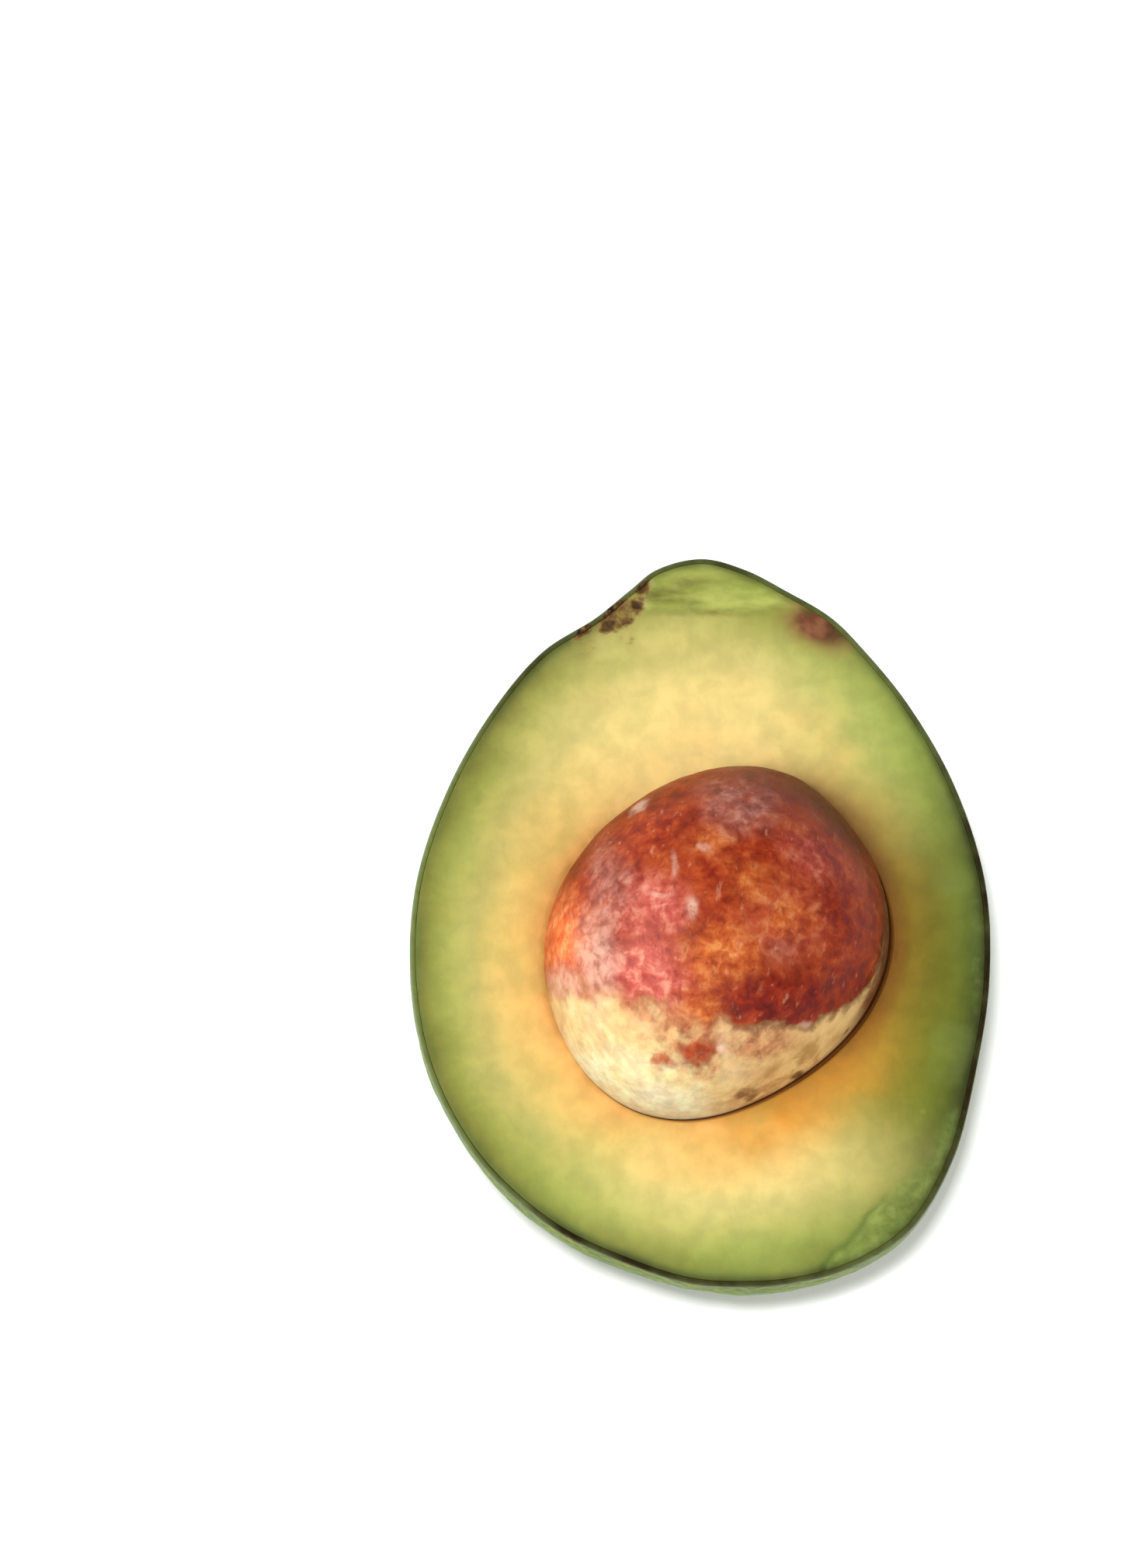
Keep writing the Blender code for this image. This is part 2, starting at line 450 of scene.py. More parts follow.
def flesh_material():
    n = Nodes("avocado_flesh")
    ring = n.mask("ring")
    drift = n.times(n.plus(n.noise(11 * MM, 3.0, 0.5), -0.5), 0.16)
    fine = n.times(n.plus(n.noise(2.2 * MM, 3.0, 0.6), -0.5), 0.05)
    ring = n.plus(n.plus(ring, drift), fine)
    light = n.ramp(ring, (
        (0.00, shade(196, 136, 66)),
        (0.05, shade(218, 164, 88)),
        (0.16, shade(221, 180, 98)),
        (0.38, shade(214, 186, 104)),
        (0.55, shade(185, 174, 97)),
        (0.70, shade(170, 168, 84)),
        (0.83, shade(142, 146, 62)),
        (0.93, shade(124, 125, 50)),
        (1.00, shade(98, 108, 38)),
    ))
    # The right flank's ramp: partly greener olive flesh, partly the seed's shadow painted in as
    # darker colour.
    shaded_olive = n.ramp(ring, (
        (0.00, shade(138, 84, 26)),
        (0.07, shade(170, 120, 42)),
        (0.22, shade(172, 144, 42)),
        (0.42, shade(136, 126, 32)),
        (0.58, shade(120, 120, 28)),
        (0.72, shade(106, 114, 28)),
        (0.83, shade(88, 98, 24)),
        (0.91, shade(68, 78, 20)),
        (1.00, shade(48, 54, 18)),
    ))
    colour = n.mix(n.mask("shadowed_flank"), light, shaded_olive)
    colour = n.mix(n.times(n.mask("pale"), 0.75), colour, shade(249, 226, 146))
    colour = n.mix(n.mask("green"), colour, shade(154, 178, 82))
    amber = n.times(n.mask("amber"), n.between(n.noise(5 * MM, 3.0), 0.2, 0.8, 0.65, 1.0))
    colour = n.mix(amber, colour, shade(218, 150, 50))
    cap = n.ramp(n.noise(5 * MM, 4.0, 0.6, 0.0, n.stretched((0.35, 1.0, 1.0))), (
        (0.32, shade(134, 142, 58)), (0.50, shade(160, 172, 78)), (0.66, shade(196, 202, 104)),
    ))
    colour = n.mix(n.times(n.mask("cap"), 0.75), colour, cap)
    # Brown-olive smears at the stem end, and a painted shadow beside the stem scar.
    stain_and_shadow = n.noise(3.5 * MM, 4.0, 0.6, 0.0, n.stretched((0.4, 1.0, 1.0)))
    stain_and_shadow = n.between(stain_and_shadow, 0.35, 0.65, 0.25, 1.0)
    colour = n.mix(n.times(n.mask("cap_stain_and_shadow"), stain_and_shadow), colour, shade(102, 100, 34))
    rough_green = n.ramp(n.noise(2.6 * MM, 4.0, 0.6, 0.2), (
        (0.34, shade(92, 114, 42)),
        (0.50, shade(122, 144, 62)),
        (0.66, shade(148, 168, 86)),
    ))
    colour = n.mix(n.times(n.mask("shaved"), 0.55), colour, rough_green)
    colour = n.mix(n.times(n.mask("groove"), 0.7), colour, shade(84, 106, 34))

    # Cloudy patches, a little peachy here and greener there.
    tint = n.noise(8 * MM, 2.0, 0.45)
    peach = n.times(n.between(tint, 0.48, 0.70, 0.0, 0.25), n.between(ring, 0.85, 0.30))
    peach = n.times(peach, n.between(n.mask("shadowed_flank"), 0.5, 0.0))
    colour = n.mix(peach, colour, shade(240, 190, 112))
    colour = n.mix(n.between(tint, 0.52, 0.30, 0.0, 0.14), colour, shade(168, 186, 94))
    cloud = n.between(n.noise(4.0 * MM, 4.0, 0.55, 0.2), 0.30, 0.70)
    colour = n.mix(0.26, colour, n.ramp(cloud, (
        (0.0, shade(176, 176, 170)), (1.0, (1.0, 1.0, 1.0, 1.0)),
    )), "MULTIPLY")
    speck = n.between(n.cells(4.2 * MM), 0.055, 0.035)
    tone = n.between(n.noise(9 * MM, 2.0), 0.55, 0.75)
    colour = n.mix(n.times(n.times(speck, tone), 0.35), colour, shade(150, 120, 62))
    pale_speck = n.between(n.cells(9 * MM), 0.10, 0.05)
    pale_speck = n.times(pale_speck, n.between(ring, 0.5, 0.75, 0.0, 0.25))
    pale_speck = n.times(pale_speck, n.mask("shadowed_flank"))
    colour = n.mix(pale_speck, colour, shade(186, 196, 130))
    # Dark line along the skin: partly the skin's own dark edge, partly painted shade on the right
    # and at the bottom.
    colour = n.mix(n.mask("rim_dark_and_shade"), colour, shade(48, 52, 8))
    bruise_noise = n.noise(3.0 * MM, 3.0, 0.55, 0.1)
    bruise = n.ramp(bruise_noise, (
        (0.34, shade(76, 38, 16)), (0.50, shade(106, 58, 32)), (0.66, shade(132, 84, 52)),
    ))
    bruised = n.mask("bruise")
    bruise = n.mix(n.between(bruised, 0.3, 0.9, 0.6, 0.0), bruise, shade(166, 128, 68))
    bruise = n.mix(n.mask("bruise_dark"), bruise, shade(64, 40, 14))
    bruised = n.times(bruised, n.between(bruise_noise, 0.3, 0.6, 0.8, 1.15), clamp=True)
    colour = n.mix(bruised, colour, bruise)
    cork_noise = n.noise(2.0 * MM, 4.0, 0.6, 0.2)
    scar = n.mask("scar")
    crust = n.between(scar, 0.72, 1.0, 0.0, -0.22)
    cork = n.ramp(n.plus(cork_noise, crust), (
        (0.22, shade(60, 38, 10)), (0.38, shade(88, 60, 22)), (0.50, shade(114, 88, 38)),
        (0.64, shade(144, 122, 62)),
    ))
    corky = n.between(n.plus(scar, n.times(n.plus(cork_noise, -0.5), -1.2)), 0.30, 0.75)
    colour = n.mix(n.times(scar, 0.6), colour, shade(168, 140, 74))
    colour = n.mix(corky, colour, cork)
    # Brown in the hollow and along the lip: partly browned flesh, partly painted shade in the gap,
    # darker where the gap is wider.
    hollow = n.mask("hollow")
    colour = n.mix(hollow, colour, n.ramp(hollow, (
        (0.25, shade(204, 148, 66)), (1.0, shade(128, 74, 24)),
    )))

    grain = n.bump(n.noise(0.7 * MM, 3.0, 0.6), 0.03 * MM)
    drag = n.noise(1.4 * MM, 2.0, 0.5, 0.0, n.stretched((1.0, 0.08, 1.0), math.radians(24)))
    normal = n.bump(drag, 0.025 * MM, grain)
    normal = n.bump(n.noise(4.0 * MM, 3.0, 0.55, 0.2), 0.10 * MM, normal)
    roughness = n.between(n.noise(3.0 * MM, 3.0), 0.3, 0.7, 0.42, 0.58)
    return n.finish(
        colour, roughness, normal, Subsurface_Weight=0.15, Subsurface_Scale=2.5 * MM,
        Subsurface_Radius=(1.0, 0.6, 0.25), Specular_IOR_Level=0.25,
    )


def skin_material():
    n = Nodes("avocado_skin")
    patches = n.noise(9 * MM, 3.0, 0.6)
    flecks = n.noise(1.3 * MM, 4.0, 0.65, 0.4)
    level = n.plus(n.times(patches, 0.6), n.times(flecks, 0.75))
    colour = n.ramp(level, (
        (0.42, shade(28, 56, 0)),
        (0.58, shade(60, 96, 2)),
        (0.70, shade(94, 126, 6)),
        (0.82, shade(138, 156, 24)),
        (0.96, shade(178, 186, 74)),
    ))
    dots = n.between(n.cells(2.3 * MM), 0.20, 0.10)
    dots = n.times(dots, n.between(n.noise(6 * MM), 0.45, 0.6))
    colour = n.mix(n.times(dots, 0.5), colour, shade(190, 194, 100))
    ragged = n.times(n.plus(n.noise(1.6 * MM, 2.0), -0.5), 0.16)
    small_pits = n.between(n.plus(n.cells(5.0 * MM), ragged), 0.12, 0.06)
    big_pits = n.between(n.plus(n.cells(11 * MM), ragged), 0.12, 0.07)
    pits = n.combine("MAXIMUM", n.times(small_pits, 0.6), big_pits)
    colour = n.mix(n.times(pits, 0.85), colour, shade(26, 34, 8))
    across = n.plus(n.mask("rim"), n.times(n.plus(flecks, -0.5), 0.25))
    # The skin's cut edge in a lit and a shaded copy, mixed by bearing: painted shade on the right
    # and at the bottom.
    lit_rim = n.ramp(across, (
        (0.0, shade(122, 138, 100)), (0.45, shade(106, 118, 66)), (1.0, shade(108, 114, 48)),
    ))
    shaded_rim = n.ramp(across, (
        (0.0, shade(58, 54, 14)), (0.35, shade(34, 28, 6)), (1.0, shade(34, 30, 4)),
    ))
    rim = n.mix(n.mask("rim_dark_and_shade"), lit_rim, shaded_rim)
    near_cut = n.mask("near_cut")
    # Just below the cut the skin is darker olive all round: painted shade.
    shaded_brow = n.ramp(flecks, ((0.35, shade(62, 82, 14)), (0.65, shade(114, 126, 48))))
    colour = n.mix(n.between(near_cut, 0.1, 1.0, 0.0, 0.75), colour, shaded_brow)
    colour = n.mix(n.mask("cut"), colour, rim)
    cork_noise = n.noise(2.0 * MM, 4.0, 0.6, 0.2)
    cork = n.ramp(cork_noise, (
        (0.38, shade(34, 25, 15)), (0.52, shade(92, 66, 38)), (0.66, shade(162, 130, 78)),
    ))
    corky = n.between(n.plus(n.mask("scar"), n.times(n.plus(cork_noise, -0.5), -1.2)), 0.35, 0.62)
    colour = n.mix(corky, colour, cork)
    pebble = n.bump(n.between(n.cells(1.6 * MM, "SMOOTH_F1"), 0.0, 0.7, 1.0, 0.0), 0.22 * MM)
    pebble = n.bump(pits, -0.2 * MM, pebble)
    normal = n.bump(n.noise(0.5 * MM, 3.0), 0.02 * MM, pebble)
    roughness = n.between(flecks, 0.3, 0.7, 0.40, 0.55)
    # The waxy shine stops short of the cut.
    n.put(n.shader.inputs["Coat Weight"], n.between(near_cut, 0.5, 0.0, 0.0, 0.45))
    n.put(n.shader.inputs["Coat Normal"], normal)
    return n.finish(
        colour, roughness, normal, Specular_IOR_Level=0.08, Coat_Roughness=0.20, Coat_IOR=1.45,
    )


def seed_material():
    n = Nodes("avocado_seed")
    blotch = n.noise(6.0 * MM, 3.0, 0.5, 0.3)
    mottle = n.noise(2.2 * MM, 4.0, 0.6, 0.3)
    streak = n.noise(1.4 * MM, 3.0, 0.6, 0.2, n.stretched((1.0, 0.5, 1.0), math.radians(-35)))
    break_up = n.noise(3.2 * MM, 5.0, 0.6, 0.3)

    coat = n.ramp(n.plus(n.times(blotch, 0.5), n.times(mottle, 0.5)), (
        (0.36, shade(112, 26, 2)),
        (0.47, shade(146, 48, 12)),
        (0.56, shade(164, 64, 24)),
        (0.66, shade(180, 90, 46)),
    ))
    tints = (
        ("pink", (158, 58, 46), (190, 84, 70), (216, 138, 116)),
        ("orange", (156, 62, 22), (192, 94, 38), (214, 136, 72)),
        ("mauve", (128, 66, 50), (158, 92, 78), (186, 132, 114)),
        ("red", (118, 24, 0), (152, 44, 6), (178, 74, 26)),
        ("deep", (92, 8, 0), (124, 20, 0), (152, 44, 8)),
        # The last tint is painted light: the left rim of the coat is brighter orange where the
        # light falls.
        ("painted_light_left", (204, 84, 38), (226, 112, 60), (238, 152, 94)),
    )
    for name, low, middle, high in tints:
        tint = n.ramp(mottle, (
            (0.34, shade(*low)), (0.50, shade(*middle)), (0.66, shade(*high)),
        ))
        edge = n.times(n.mask(name), n.between(break_up, 0.3, 0.6, 0.55, 1.25), clamp=True)
        coat = n.mix(edge, coat, tint)
    coat = n.mix(n.between(streak, 0.60, 0.76, 0.0, 0.38), coat, shade(228, 160, 124))
    coat = n.mix(n.between(streak, 0.42, 0.30, 0.0, 0.45), coat, shade(112, 30, 20))

    cream = n.ramp(n.noise(5.0 * MM, 3.0, 0.5, 0.4), (
        (0.28, shade(232, 226, 158)), (0.46, shade(243, 240, 174)), (0.64, shade(250, 250, 196)),
    ))
    film = n.times(n.mask("film"), n.between(break_up, 0.30, 0.60, 0.6, 1.0))
    cream = n.mix(n.mask("warm"), cream, shade(244, 200, 128))
    # Painted light: the cream is whiter towards the bottom of the seed.
    cream = n.mix(n.mask("painted_light_bottom"), cream, shade(245, 255, 214))
    film_tint = n.ramp(streak, ((0.36, shade(144, 70, 34)), (0.62, shade(202, 132, 86))))
    cream = n.mix(n.times(film, 0.9), cream, film_tint)
    tan = n.times(n.mask("tan"), n.between(n.noise(3.0 * MM, 3.0, 0.55, 0.3), 0.35, 0.65))
    cream = n.mix(n.times(tan, 0.8), cream, shade(166, 118, 62))

    # Above nought the coat is still there; the noise makes its torn edge ragged.
    torn = n.mask("torn")
    peel = n.plus(n.mask("peel"), n.times(n.plus(break_up, -0.5), 5.0))
    soft = n.between(torn, 0.0, 1.0, 3.0, 0.45)
    colour = n.mix(n.between(peel, n.times(soft, -1.0), soft), cream, coat)
    frayed = n.times(n.between(peel, -1.6, -0.2), n.between(peel, 0.8, 0.1))
    colour = n.mix(n.times(n.times(frayed, torn), 0.75), colour, shade(126, 82, 48))
    # Mostly painted highlights and glints on the side facing the camera, with a few pale flecks.
    pale = n.times(n.mask("pale"), n.between(mottle, 0.34, 0.58, 0.4, 1.0))
    colour = n.mix(pale, colour, shade(230, 192, 168))
    spots = n.times(n.mask("spots"), n.between(mottle, 0.3, 0.55, 0.5, 1.0))
    colour = n.mix(spots, colour, shade(104, 56, 26))
    # Painted shade: darker brown along the seed's outline at the upper right and the right, a
    # little at the upper left.
    colour = n.mix(n.mask("edge"), colour, shade(78, 34, 8))

    normal = n.bump(n.noise(0.6 * MM, 2.0, 0.5), 0.02 * MM)
    normal = n.bump(mottle, 0.14 * MM, normal)
    normal = n.bump(streak, 0.05 * MM, normal)
    roughness = n.between(mottle, 0.3, 0.7, 0.44, 0.60)
    return n.finish(
        colour, roughness, normal, Specular_IOR_Level=0.18,
        Subsurface_Weight=0.08, Subsurface_Scale=1.5 * MM,
    )


# ---------------------------------------------------------------------------
# Where the marks on the fruit are, in the frame's X and Y
# ---------------------------------------------------------------------------
def scar_mask(points):
    """The corky stem scar in the notch at the upper left."""
    x, y = points[..., 0], points[..., 1]
    wander = 0.78 * MM * layered_noise(points, 4 * MM, 40)
    return np.maximum.reduce((
        0.72 * blob(x + wander, y + wander, (-12.4, 50.2), (4.8, 2.3), 40.0, 0.5),
        blob(x + wander, y, (-14.9, 48.2), (1.7, 1.0), 35.0, 0.5),
        blob(x, y + wander, (-10.0, 51.6), (1.4, 1.0), 20.0, 0.5),
        0.9 * blob(x - wander, y + wander, (-18.6, 46.8), (1.9, 0.9), 38.0, 0.6),
        0.9 * blob(x, y, (-8.9, 54.4), (1.6, 0.9), 45.0, 0.6),
        0.38 * blob(x + wander, y - wander, (-11.0, 46.5), (1.7, 1.9), 0.0, 0.6),
        0.35 * blob(x, y, (-17.2, 44.8), (2.4, 1.2), 60.0, 0.6),
    ))


def shaved_mask(points):
    """The rough green strip that the knife left at the lower right.

    Gives how much each point is in it, and how far it is from its inner edge, in millimetres.
    """
    x, y = points[..., 0] / MM, points[..., 1] / MM
    wander = 0.9 * layered_noise(points, 5 * MM, 50)
    inner_y, inner_x = np.array((
        (-56.0, 19.5), (-49.0, 25.8), (-43.5, 30.5), (-39.0, 35.6), (-33.0, 38.6), (-27.0, 44.0),
    )).T
    past = x + wander - np.interp(y, inner_y, inner_x)
    return smooth(past, -1.6, 1.8), np.abs(past)


def rim_darkness_and_shade(bearing):
    """How dark the skin's cut edge is, 0 to 1, by bearing from the fruit's middle: partly its own
    dark colour, partly painted shade, darkest on the right and at the bottom.
    """
    bearings, darkness = np.array((
        (-180, 0.05), (-150, 0.15), (-128, 0.45), (-112, 0.95), (-85, 0.95), (-65, 0.55),
        (-50, 0.7), (-32, 1.0), (12, 1.0), (40, 0.6), (62, 0.4), (85, 0.65), (105, 0.5),
        (122, 0.7), (140, 0.25), (160, 0.05), (180, 0.05),
    )).T
    round_rim = np.stack((np.cos(bearing), np.sin(bearing), np.zeros_like(bearing)), axis=-1)
    uneven = 0.3 * layered_noise(round_rim, 0.12, 90)
    return np.clip(np.interp(np.degrees(bearing), bearings, darkness) * (1.0 + uneven), 0.0, 1.0)


# ---------------------------------------------------------------------------
# Pieces
# ---------------------------------------------------------------------------
def lip_gap(bearing):
    """How far the lip stands off the seed: wider at the right and lower right.

    Elsewhere it overlaps the seed a little, so that no gap shows.
    """
    gap = -0.06
    for middle, spread, width in ((-46.0, 0.7, 0.66), (5.0, 0.5, 0.38), (-100.0, 0.5, 0.28)):
        off = np.angle(np.exp(1j * (bearing - math.radians(middle))))
        gap = gap + width * np.exp(-((off / spread) ** 2))
    return gap * MM


def make_flesh():
    around = np.linspace(0.0, 2 * math.pi, COLUMNS, endpoint=False)
    outline = fruit_surface(around, np.zeros(COLUMNS))[:, :2]
    outer = outline + inward_steps(outline) * (SKIN_THICKNESS + 0.03 * MM)

    centre = np.array(SEED_CENTRE[:2])
    towards = outer - centre
    bearing = np.arctan2(towards[:, 1], towards[:, 0])
    c, s = np.cos(bearing - SEED_TURN), np.sin(bearing - SEED_TURN)
    seed_angle = np.arctan2(s / SEED_SHORT, c / SEED_LONG)
    gap = lip_gap(bearing)

    # The hollow, from its bottom up to its lip.
    lip_depths = np.array((2.2, 1.5, 1.0, 0.7, 0.5, 0.35, 0.22, 0.1, 0.0)) * MM
    above = np.concatenate((
        np.linspace(-math.pi / 2, -0.13, 18), -np.arcsin(lip_depths / SEED_TALL),
    ))
    depth = -SEED_TALL * np.sin(above)[:, None]
    closing = 1.0 - smooth(depth, 0.0, 0.7 * MM)
    hollow_gap = gap[None] * closing + SEED_GAP * smooth(depth, 0.7 * MM, 2.2 * MM)
    hollow = seed_surface(seed_angle[None], above[:, None], hollow_gap)
    lip = hollow[-1, :, :2]
    span = np.linalg.norm(outer - lip, axis=1)
    out = (outer - lip) / span[:, None]

    # The cut face, finely stepped at the lip and at the skin.
    lip_round = 0.12 * MM + 0.8 * gap[None]
    steps = np.concatenate((
        0.9 * MM * (1 - np.cos(np.linspace(0.15, 1.0, 8) * math.pi / 2)),
        np.linspace(1.15 * MM, 1.5 * MM, 2),
    ))
    field = np.linspace(0.0, 1.0, 66)[1:-1]
    tail = np.array((0.9, 0.6, 0.35, 0.15, 0.04, 0.0)) * MM
    from_lip = np.concatenate((
        np.repeat(steps[:, None], COLUMNS, 1),
        steps[-1] + field[:, None] * (span - steps[-1] - tail[0])[None],
        span[None] - tail[:, None],
    ))
    from_skin = span[None] - from_lip
    flat = lip[None] + out[None] * from_lip[..., None]
    top = np.concatenate((flat, np.full((*from_lip.shape, 1), CUT_HEIGHT)), axis=-1)

    shaved, off_groove = shaved_mask(top)
    groove = np.exp(-((off_groove / 0.6) ** 2)) * smooth(-top[..., 1], 43 * MM, 48 * MM)
    scar = scar_mask(top)
    height = CUT_WAVES * layered_noise(top, 24 * MM, 1, 2)
    height += CUT_GRAIN * layered_noise(top, 4 * MM, 5, 3)
    off_lip = 1.0 - np.clip(from_lip / lip_round, 0.0, 1.0)
    height -= lip_round * (1.0 - np.sqrt(1.0 - off_lip**2))
    height -= CUT_EDGE_DROP * np.exp(-((from_skin / (0.35 * MM)) ** 2))
    height += shaved * (SHAVED_ROUGHNESS * layered_noise(top, 3.2 * MM, 9, 3) - SHAVED_DEPTH)
    height -= GROOVE_DEPTH * groove
    height += scar * (SCAR_ROUGHNESS * layered_noise(top, 2.6 * MM, 13, 3) - SCAR_DEPTH)
    crease = np.exp(-(((top[..., 1] - 50.9 * MM) / (0.35 * MM)) ** 2))
    crease *= blob(top[..., 0], top[..., 1], (3.4, 50.9), (9.5, 3.0), 0.0, 0.3)
    height -= CREASE_DEPTH * crease
    top[..., 2] += height

    # The underside lies against the skin, out of sight.
    below = np.linspace(0.02, math.pi / 2, COVERED_ROWS)
    under = inner_surface(around, below, SKIN_THICKNESS + 0.4 * MM)
    under[..., 2] = np.minimum(under[..., 2], CUT_HEIGHT - 0.5 * MM)

    rows = np.concatenate((hollow[:-1], top, under))
    hollow_rows = len(hollow) - 1

    def whole(values, in_hollow=0.0, underneath=0.0):
        """The values on the cut face, and one value each for the hollow and the underside."""
        return np.concatenate((
            np.full((hollow_rows, COLUMNS), in_hollow),
            values,
            np.full((COVERED_ROWS, COLUMNS), underneath),
        ))

    x, y = top[..., 0], top[..., 1]
    wander = 0.5 * MM * layered_noise(top, 3 * MM, 60)
    fruit_bearing = np.arctan2(outer[:, 1] - FRUIT_MIDDLE[1], outer[:, 0])
    # The right flank of the cut face: its flesh is greener, and the seed's shadow is painted onto
    # it.
    side = np.angle(np.exp(1j * (bearing + math.radians(14.0))))
    shadowed_flank = np.exp(-((side / 0.93) ** 4))[None] * np.ones_like(x)
    masks = {
        "ring": whole(from_lip / span[None], 0.0, 1.0),
        # Partly browned flesh, partly painted shade in the gap between seed and flesh, darker
        # where the gap is wider.
        "hollow": whole(
            np.exp(-((from_lip / (0.4 * MM)) ** 2)) * (0.25 + 0.75 * gap[None] / gap.max()), 1.0,
        ),
        "shadowed_flank": whole(shadowed_flank),
        "pale": whole(np.maximum.reduce((
            blob(x, y, (0.0, 29.5), (21.0, 12.5), 8.0, 0.8),
            0.7 * blob(x, y, (8.0, -41.5), (20.0, 8.0), 6.0, 0.8),
            0.4 * blob(x, y, (-8.5, 44.0), (13.0, 6.5), 25.0, 0.8),
            0.45 * blob(x, y, (-13.8, 45.0), (5.0, 3.6), 35.0, 0.7),
        ))),
        "green": whole(np.maximum.reduce((
            0.5 * blob(x, y, (29.0, 31.0), (9.0, 16.0), 38.0, 0.9),
            0.35 * blob(x, y, (11.0, -53.0), (16.0, 5.0), 6.0, 0.9),
            0.3 * blob(x, y, (-20.0, -44.0), (10.0, 6.0), -40.0, 0.9),
            0.15 * blob(x, y, (42.0, 4.0), (3.0, 10.0), 0.0, 0.9),
        ))),
        "rim_dark_and_shade": whole(
            0.85 * rim_darkness_and_shade(fruit_bearing)[None] * np.exp(-((from_skin / (0.9 * MM)) ** 2)),
        ),
        "amber": whole(np.maximum(
            blob(x, y, (13.0, -30.0), (15.0, 6.5), 32.0, 0.8),
            0.6 * blob(x, y, (26.0, -14.0), (4.0, 12.0), -12.0, 0.8),
        )),
        "cap": whole(smooth(y, 49.5 * MM, 51.5 * MM)),
        # Brown-olive smears, and at (-7.2, 53.6) a painted shadow beside the stem scar.
        "cap_stain_and_shadow": whole(np.maximum.reduce((
            0.7 * blob(x, y, (-2.6, 55.4), (5.0, 1.3), 4.0, 0.8),
            0.8 * blob(x, y, (-4.2, 53.2), (5.4, 2.0), -4.0, 0.9),
            blob(x, y, (-7.2, 53.6), (2.6, 2.0), 20.0, 0.9),
            0.8 * blob(x, y, (3.4, 50.6), (10.0, 0.7), 0.0, 0.8),
        ))),
        "shaved": whole(shaved),
        "groove": whole(groove),
        "bruise": whole(blob(x + wander, y, (19.2, 48.1), (5.4, 3.3), -26.0, 0.75)),
        "bruise_dark": whole(0.8 * blob(x, y, (23.0, 47.6), (2.2, 3.0), -30.0, 0.9)),
        "scar": whole(scar),
    }

    # The map is the cut face seen from above, with the hollow inside the lip. The underside
    # is a small disc in a corner.
    scale = 0.96 / FRUIT_LENGTH
    maps = 0.5 + rows[..., :2] * scale
    hollow_share = 0.995 * np.linspace(0.05, 1.0, hollow_rows)
    inside_lip = centre + (lip - centre)[None] * hollow_share[:, None, None]
    maps[:hollow_rows] = 0.5 + scale * inside_lip
    maps[0] = 0.5 + scale * centre
    corner_reach = 0.055 * np.linspace(1.0, 0.0, COVERED_ROWS)
    maps[-COVERED_ROWS:] = disc_map(around[None], corner_reach[:, None], (0.06, 0.06))
    return ring_mesh("avocado_flesh", rows, maps, masks, flesh_material())


